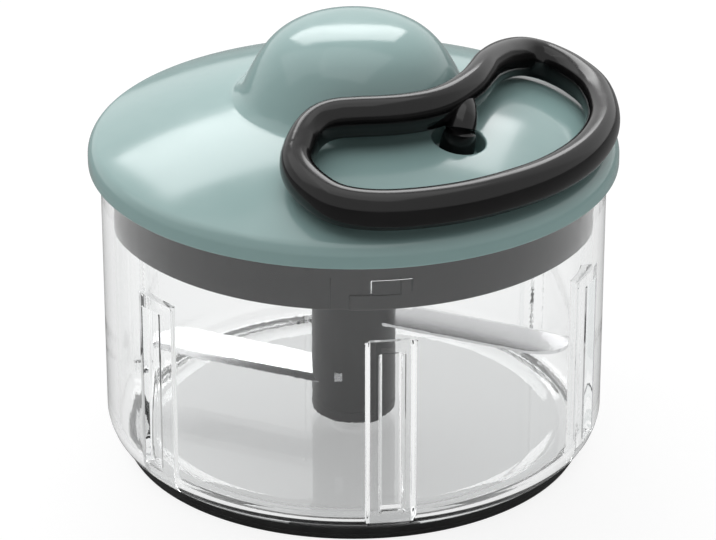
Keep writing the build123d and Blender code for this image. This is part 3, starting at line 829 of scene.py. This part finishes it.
# ==== cover ====
def cover_outline(inset):
    """Half of the cover's outer shape, or of its inside when inset by the wall, from the top down."""
    dome = dome_radius - inset
    centre_z = dome_apex - dome_radius
    foot = housing_foot_radius * dome / dome_radius

    def on_dome(radius):
        return radius, centre_z + math.sqrt(dome**2 - radius**2)

    side = [(housing_foot_radius, dome_z(housing_foot_radius)), *housing_side, (0, total_height)]
    places = [on_dome(foot + 2), on_dome(foot)]
    for back, here, ahead in zip(side, side[1:], side[2:]):
        run, rise = Vector(ahead) - Vector(back)
        length = math.hypot(run, rise)
        places.append((here[0] - inset * rise / length, here[1] + inset * run / length))
    places += [(0, total_height - inset), (-places[-1][0], places[-1][1])]
    line = [tuple(point) for point in smooth_line(places[::-1], 5)[5:-5]]
    line[0] = (0, total_height - inset)
    shoulder = shoulder_radius - inset * 0.8
    for step in range(1, 25):
        line.append(on_dome(foot + (shoulder - foot) * step / 24))
    rim = cover_radius - inset
    drop = line[-1][1] - rim_side_top
    back = rim - shoulder
    arc = (back**2 + drop**2) / (2 * back)
    end_turn = math.asin(min(drop / arc, 1.0))
    for step in range(1, 11):
        turn = end_turn * (1 - step / 10)
        line.append((rim - arc + arc * math.cos(turn), rim_side_top + arc * math.sin(turn)))
    return line


outer_line = cover_outline(0)
inner_line = cover_outline(cover_wall)
rim_inside = cover_radius - cover_wall
rim_line = rounded_outline([(cover_radius, 97.2), (cover_radius, cover_bottom, 0.7),
                            (rim_inside, cover_bottom, 0.3), (rim_inside, 97.2)], 4)
cover_mesh = lathe_mesh("cover_moulding", outer_line + rim_line + inner_line[::-1], 256)
pocket_radius = well_radius + 2.0
pocket_bottom = -well_depth - 2.0
pocket_line = [(0, pocket_bottom), (pocket_radius, pocket_bottom), (pocket_radius, -1.1), (0, -1.1)]
pocket = lathe_mesh("well_pocket", pocket_line, 96, well_mouth, pull_axis)
cover_mesh = carved(cover_mesh, pocket, "UNION")
flare = [(0, -well_depth), (well_radius - 0.6, -well_depth), (well_radius, -well_depth + 0.6),
         (well_radius, -well_lip_depth)]
for turn in (15, 30, 45, 60, 75):
    across, up = 1 - math.cos(math.radians(turn)), math.sin(math.radians(turn))
    flare.append((well_radius + well_lip * across, well_lip * up - well_lip_depth))
flare += [(well_radius + 0.9, 0.3), (well_radius + 0.9, 3), (0, 3)]
cover_mesh = carved(cover_mesh, lathe_mesh("well_cut", flare, 96, well_mouth, pull_axis), "DIFFERENCE")
hole = [(0, -well_depth - 4), (eyelet_radius, -well_depth - 4), (eyelet_radius, -well_depth + 1),
        (0, -well_depth + 1)]
cover_mesh = carved(cover_mesh, lathe_mesh("eyelet_hole", hole, 48, well_mouth, pull_axis), "DIFFERENCE")
cover_mesh.name = "cover_moulding"
soft_shade(cover_mesh, 34)
cover = new_piece("cover_moulding", cover_mesh, mint)
stand_for(cover, "lid", "cover")

# the bosses inside the cover: four for the lid's screws and one for the reel's axle
boss_top = 108.6
boss_outline = rounded_outline(
    [(4.0, deck_top, 0.3), (4.0, boss_top), (1.55, boss_top), (1.55, deck_top, 0.2)], 2)
boss_mesh = lathe_mesh("screw_boss", boss_outline, 32)
boss = put_in_scene("screw_boss", boss_mesh)
screw_bosses = ring_of_copies("screw_bosses", boss, mint, screw_count, screw_circle, screw_azimuth, 0.0)
axle_boss = lathe_mesh("axle_boss", rounded_outline(
    [(3.02, 122.0, 0.3), (6.0, 122.0, 0.3), (6.0, 138.9), (0, 138.9), (0, 136.0), (3.02, 136.0)], 2), 48)
screw_bosses.data = joined("screw_bosses", [screw_bosses.data, axle_boss])
screw_bosses.data.materials.clear()
screw_bosses.data.materials.append(mint.material)
soft_shade(screw_bosses.data, 35)
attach(screw_bosses, "lid")

# ==== lid screws ====
head_outline = rounded_outline([
    (1.45, 93.2), (1.45, 80.7), (2.95, 80.7, 0.2), (2.95, 79.9, 0.4), (1.2, 79.3, 0.4), (0, 79.3), (0, 93.3),
    (0.9, 93.3, 0.2)], 3)
screw_mesh = lathe_mesh("lid_screw", head_outline, 32)
for turn in (0, 90):
    reach = polar(1.35, turn)
    slot_mesh = tube_mesh("slot", [Vector((-reach.x, -reach.y, 79.2)), Vector((reach.x, reach.y, 79.2))],
                          [(0.3, 0.75)] * 2, sides=8, power=6)
    screw_mesh = carved(screw_mesh, slot_mesh, "DIFFERENCE")
screw = put_in_scene("lid_screw", screw_mesh)
screws = ring_of_copies("cross_screws", screw, turned_steel, screw_count, screw_circle, screw_azimuth, 0.0)
soft_shade(screws.data, 30)
stand_for(screws, "lid", "lid_screws")

# ==== blade hub ====
hub_outline = rounded_outline([
    (6.0, 8.7, 0.3), (12.3, 8.7, 0.4), (hub_radius, 9.5, 0.8), (hub_radius, 12.4), (13.15, 12.6),
    (hub_radius, 12.8), (hub_radius, 40), (hub_radius, 74.6), (13.15, 74.8), (hub_radius, 75.0),
    (hub_radius, 76.9, 0.5), (12.6, 77.5, 0.5), (9.0, 77.5, 0.3), (9.0, 48.0), (0, 48.0), (0, 32.5),
    (6.0, 32.5)], 4)
hub_mesh = lathe_mesh("hub_moulding", hub_outline, 128)
soft_shade(hub_mesh, 34)
hub = new_piece("hub_moulding", hub_mesh, dark_grey)
stand_for(hub, "blades", "blade_hub")


# ==== blades ====
leading_edge = [(6.0, 9.5), (14.0, 6.0), (45.0, -7.0), (51.6, -9.9), (58.5, -13.4), (63.6, -16.4),
                (67.6, -18.6)]
trailing_edge = [(6.0, -8.5), (12.7, -11.5), (30.0, -19.1), (48.5, -27.2), (52.0, -28.9), (55.0, -29.6),
                 (58.6, -29.9), (61.5, -29.2), (64.4, -27.2), (66.0, -24.5), (67.2, -21.5), (67.6, -18.6)]
blade_stations = 72


def blade_mesh(name, height, turn):
    """A ground blade: flat below, with a bevel along its leading edge and rolled corners."""
    lead = evenly(smooth_line(leading_edge), blade_stations)
    trail = evenly(smooth_line(trailing_edge), blade_stations)
    points = []
    faces = []
    rows = 9
    for front, back in zip(lead, trail):
        reach = (back - front).length
        across = (back - front) / max(reach, 1e-6)
        bevel = min(3.2, reach * 0.45)
        corner = min(0.12, reach * 0.1)
        places = [(0.0, 0.12), (0.03, 0.2), (bevel * 0.5, 0.66), (bevel, blade_thickness - 0.02),
                  (bevel + corner, blade_thickness), (reach - corner, blade_thickness),
                  (reach, blade_thickness - 0.12), (reach, 0.12), (min(0.05, reach * 0.1), 0.0)]
        for distance, level in places:
            flat = front + across * min(distance, reach)
            x = flat.x * math.cos(turn) - flat.y * math.sin(turn)
            y = flat.x * math.sin(turn) + flat.y * math.cos(turn)
            points.append((x, y, height + level))
    for station in range(blade_stations - 1):
        for row in range(rows):
            beside = (row + 1) % rows
            faces.append((station * rows + row, (station + 1) * rows + row,
                          (station + 1) * rows + beside, station * rows + beside))
    faces.append(tuple(range(rows)))
    faces.append(tuple((blade_stations - 1) * rows + row for row in range(rows))[::-1])
    mesh = mesh_from(name, points, faces)
    soft_shade(mesh, 12)
    return mesh


lower_mesh = blade_mesh("lower_chopping_blade", lower_blade_z, math.pi)
lower_blade = new_piece("lower_chopping_blade", lower_mesh, blade_steel)
stand_for(lower_blade, "blades", "lower_blade")
upper_mesh = blade_mesh("upper_chopping_blade", upper_blade_z, 0.0)
upper_blade = new_piece("upper_chopping_blade", upper_mesh, blade_steel)
stand_for(upper_blade, "blades", "upper_blade")


# ==== pull handle ====
def loop_point(azimuth, radius):
    """A point of the loop's centre line, by azimuth and distance from the axis."""
    return polar(radius, azimuth, loop_inner_z - loop_slope * (radius - loop_inner_radius))


corners = [loop_point(*place) for place in loop_places]
wrapped = smooth_line(corners[-2:] + corners + corners[:3], 8)[16:-8]
loop_points = evenly(wrapped, 201)[:-1]
# the inner strand hangs a little below the solid's centre line, and the outer one stands above it
inner_sag = 1.3
outer_rise = 0.65
loop_radii = []
for point in loop_points:
    share = ease(math.hypot(point.x, point.y), loop_inner_radius, loop_outer_radius)
    loop_radii.append(tuple(inner + (outer - inner) * share
                            for inner, outer in zip(loop_inner_section, loop_outer_section)))
    point.z += (inner_sag + outer_rise) * share - inner_sag
loop_mesh = tube_mesh("loop", loop_points, loop_radii, closed=True, sides=48, power=2.15)

stem_top = loop_point(stem_azimuth, loop_inner_radius + 0.3) - Vector((0, 0, 2.5))
stem_foot = well_mouth + pull_axis * (stem_end - well_depth)
stem_knee = well_mouth + pull_axis * 1.0
stem_bend = stem_knee + pull_axis * 5.0
stem_path = [stem_foot, stem_foot + pull_axis * 0.5, well_mouth - pull_axis * 2.0]
stem_path += [stem_knee * (1 - t) ** 2 + stem_bend * (2 * t * (1 - t)) + stem_top * t * t
              for t in [part / 8 for part in range(9)]]
stem_sizes = (4.9, 5.4, 5.4, 5.1, 4.9, 4.8, 4.8, 4.8, 4.7, 4.5, 4.1, 3.4)
stem_mesh = tube_mesh("stem", stem_path, [(size, size) for size in stem_sizes], sides=40)
handle_mesh = carved(loop_mesh, stem_mesh, "UNION")
socket_bottom, socket_top, socket_radius = 1.5 - well_depth, 7.6 - well_depth, 3.2
socket_outline = [(0, socket_bottom), (socket_radius, socket_bottom), (socket_radius, socket_top),
                  (0, socket_top)]
socket_mesh = lathe_mesh("cord_socket", socket_outline, 40, well_mouth, pull_axis)
handle_mesh = carved(handle_mesh, socket_mesh, "DIFFERENCE")
handle_mesh.name = "loop_handle"
soft_shade(handle_mesh, 40)
handle = new_piece("loop_handle", handle_mesh, handle_black)
stand_for(handle, "handle", "pull_handle")

# ==== pull cord ====
winding_radius = 23.3
cord_level = 100.8
under_well = well_mouth - pull_axis * ((well_mouth.z - cord_level) / pull_axis.z)
leave_radius = winding_radius + 2 * cord_radius + 0.1
under_radius = math.hypot(under_well.x, under_well.y)
leave_azimuth = well_azimuth - math.degrees(math.acos(leave_radius / under_radius))
leave_point = polar(leave_radius, leave_azimuth, cord_level)
plug_length = 1.6
ferrule_length = 3.0
cord_end = well_mouth + pull_axis * (stem_end - well_depth + plug_length + ferrule_length)
turn_reach = 4.0
arrive = (under_well - leave_point).normalized()
run_step = 2.0
run_steps = int((under_well - leave_point).length / run_step) - 1
cord_path = [leave_point + arrive * (step * run_step) for step in range(run_steps)]
bend_start = under_well - arrive * turn_reach
bend_end = under_well + pull_axis * turn_reach
cord_path = [point for point in cord_path if (point - under_well).length > turn_reach + 0.5]
cord_path += [bend_start * (1 - t) ** 2 + under_well * (2 * t * (1 - t)) + bend_end * t * t
              for t in [part / 8 for part in range(9)]]
straight = (cord_end - bend_end).length
rise_parts = 40
cord_path += [bend_end + pull_axis * (straight * part / rise_parts) for part in range(1, rise_parts + 1)]
cord_mesh = tube_mesh("braided_pull_cord", cord_path, [(cord_radius, cord_radius)] * len(cord_path), sides=16)
uv_map = cord_mesh.uv_layers.new(name="along_cord")
for polygon in cord_mesh.polygons:
    for loop in polygon.loop_indices:
        point = cord_mesh.vertices[cord_mesh.loops[loop].vertex_index].co / MM
        nearest = min(range(len(cord_path)), key=lambda place: (cord_path[place] - point).length)
        offset = point - cord_path[nearest]
        uv_map.data[loop].uv = (math.atan2(offset.y, offset.x) / (2 * math.pi), nearest * 0.25)
soft_shade(cord_mesh, 50)
pull_cord = new_piece("braided_pull_cord", cord_mesh, cord_finish)
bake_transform(pull_cord)
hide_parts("pull_cord")

# ==== finishes of the pieces that keep their solids ====
kept_finishes = {
    "spindle_pin": turned_steel, "blade_pins": turned_steel, "hub_bush": white_acetal,
    "drive_socket": white_acetal, "drive_shaft": turned_steel, "shaft_clip": spring_steel,
    "shaft_bush": white_acetal, "thrust_washer": white_acetal, "clutch_pawls": white_acetal,
    "clutch_ring": black_inner, "cord_reel": black_inner, "cord_winding": cord_finish,
    "cord_eyelet": white_acetal, "cord_ferrule": turned_steel, "stem_plug": black_inner,
    "recoil_spring": spring_steel, "spring_arbor": turned_steel, "spring_cover": white_acetal,
    "reel_axle": turned_steel, "axle_clip": spring_steel, "seal_ring": rubber,
}
for node_name, finish in kept_finishes.items():
    for material_slot in nodes[node_name].material_slots:
        material_slot.material = finish.material

# ==== floor, lights and world ====
floor_mesh = bpy.data.meshes.new("floor")
floor_mesh.from_pydata([(-6, -6, 0), (6, -6, 0), (6, 6, 0), (-6, 6, 0)], [], [(0, 1, 2, 3)])
floor_finish = bpy.data.materials.new("white_floor")
floor_finish.use_nodes = True
tree = floor_finish.node_tree
tree.nodes.clear()
matte = tree.nodes.new("ShaderNodeBsdfDiffuse")
matte.inputs["Color"].default_value = (0.93, 0.93, 0.93, 1)
glow = tree.nodes.new("ShaderNodeEmission")
glow.inputs["Color"].default_value = (1, 1, 1, 1)
path = tree.nodes.new("ShaderNodeLightPath")
seen = maths(tree, "ADD", path.outputs["Is Camera Ray"], path.outputs["Is Glossy Ray"], clamp=True)
seen = maths(tree, "ADD", seen, path.outputs["Is Transmission Ray"], clamp=True)
# a first mirror image of the floor is dim, as if the room in front were dark
first_mirror = maths(tree, "MULTIPLY", path.outputs["Is Glossy Ray"], maths(
    tree, "LESS_THAN", path.outputs["Ray Depth"], 1.5))
floor_glow = 1.12
tree.links.new(maths(tree, "SUBTRACT", floor_glow, first_mirror), glow.inputs["Strength"])
# painted shadow: the floor's glow is turned down under the bowl's rubber ring, so it is darker there
spot = tree.nodes.new("ShaderNodeTexCoord")
reach = tree.nodes.new("ShaderNodeVectorMath")
reach.operation = "LENGTH"
tree.links.new(spot.outputs["Object"], reach.inputs[0])
glow_share_with_painted_shadow = map_range(tree, reach.outputs["Value"], 0.066, 0.072, 0.42, 0.76)
white_share = maths(tree, "MULTIPLY", seen, glow_share_with_painted_shadow.outputs[0])
floor_mix = tree.nodes.new("ShaderNodeMixShader")
tree.links.new(white_share, floor_mix.inputs[0])
tree.links.new(matte.outputs[0], floor_mix.inputs[1])
tree.links.new(glow.outputs[0], floor_mix.inputs[2])
floor_output = tree.nodes.new("ShaderNodeOutputMaterial")
tree.links.new(floor_mix.outputs[0], floor_output.inputs[0])
floor_mesh.materials.append(floor_finish)
floor = put_in_scene("floor", floor_mesh)

world = bpy.data.worlds.new("studio")
bpy.context.scene.world = world
world.use_nodes = True
tree = world.node_tree
tree.nodes.clear()
path = tree.nodes.new("ShaderNodeLightPath")
place = tree.nodes.new("ShaderNodeTexCoord")
split = tree.nodes.new("ShaderNodeSeparateXYZ")
tree.links.new(place.outputs["Generated"], split.inputs[0])
_, to_back, to_top = split.outputs
lean = maths(tree, "ADD", maths(tree, "MULTIPLY", to_back, 0.85), maths(tree, "MULTIPLY", to_top, 0.5))
tent = map_range(tree, lean, 0.0, 0.55, 0.06, 1.0)
tent.interpolation_type = "SMOOTHSTEP"
through = maths(tree, "ADD", path.outputs["Is Camera Ray"], path.outputs["Is Transmission Ray"], clamp=True)
# only the first mirror image is dark in front: deeper ones run inside the clear walls
deep = maths(tree, "MULTIPLY", maths(tree, "GREATER_THAN", path.outputs["Ray Depth"], 1.5), 0.8)
tent_or_deep = maths(tree, "MAXIMUM", tent.outputs[0], deep)
mirrored = maths(tree, "MULTIPLY", path.outputs["Is Glossy Ray"], tent_or_deep)
ambient = maths(tree, "MULTIPLY", path.outputs["Is Diffuse Ray"], maths(tree, "ADD", maths(
    tree, "MULTIPLY", tent.outputs[0], 0.38), 0.14))
strength = maths(tree, "MAXIMUM", maths(tree, "MAXIMUM", through, mirrored), ambient)
sky = tree.nodes.new("ShaderNodeBackground")
sky.inputs["Color"].default_value = (1, 1, 1, 1)
tree.links.new(strength, sky.inputs["Strength"])
world_output = tree.nodes.new("ShaderNodeOutputWorld")
tree.links.new(sky.outputs[0], world_output.inputs[0])


def softbox(name, azimuth, elevation, distance, width, height, power):
    """A soft rectangular lamp that looks at the object. Azimuth -90 is the front."""
    lamp = bpy.data.lights.new(name, "AREA")
    lamp.shape = "RECTANGLE"
    lamp.size = width
    lamp.size_y = height
    lamp.energy = power
    holder = put_in_scene(name, lamp)
    aim = Vector((0, 0, 0.08))
    flat = polar(1, azimuth) * math.cos(math.radians(elevation))
    holder.location = aim + (flat + Vector((0, 0, math.sin(math.radians(elevation))))) * distance
    holder.rotation_euler = (aim - holder.location).to_track_quat("-Z", "Y").to_euler()


softbox("box_softbox", -110, 86, 1.3, 1.1, 1.3, 3.6)
softbox("back_softbox", 95, 40, 1.5, 1.2, 0.6, 9.0)
softbox("left_softbox", 165, 50, 1.4, 1.0, 1.0, 2.0)

bpy.context.scene.view_settings.view_transform = "Standard"
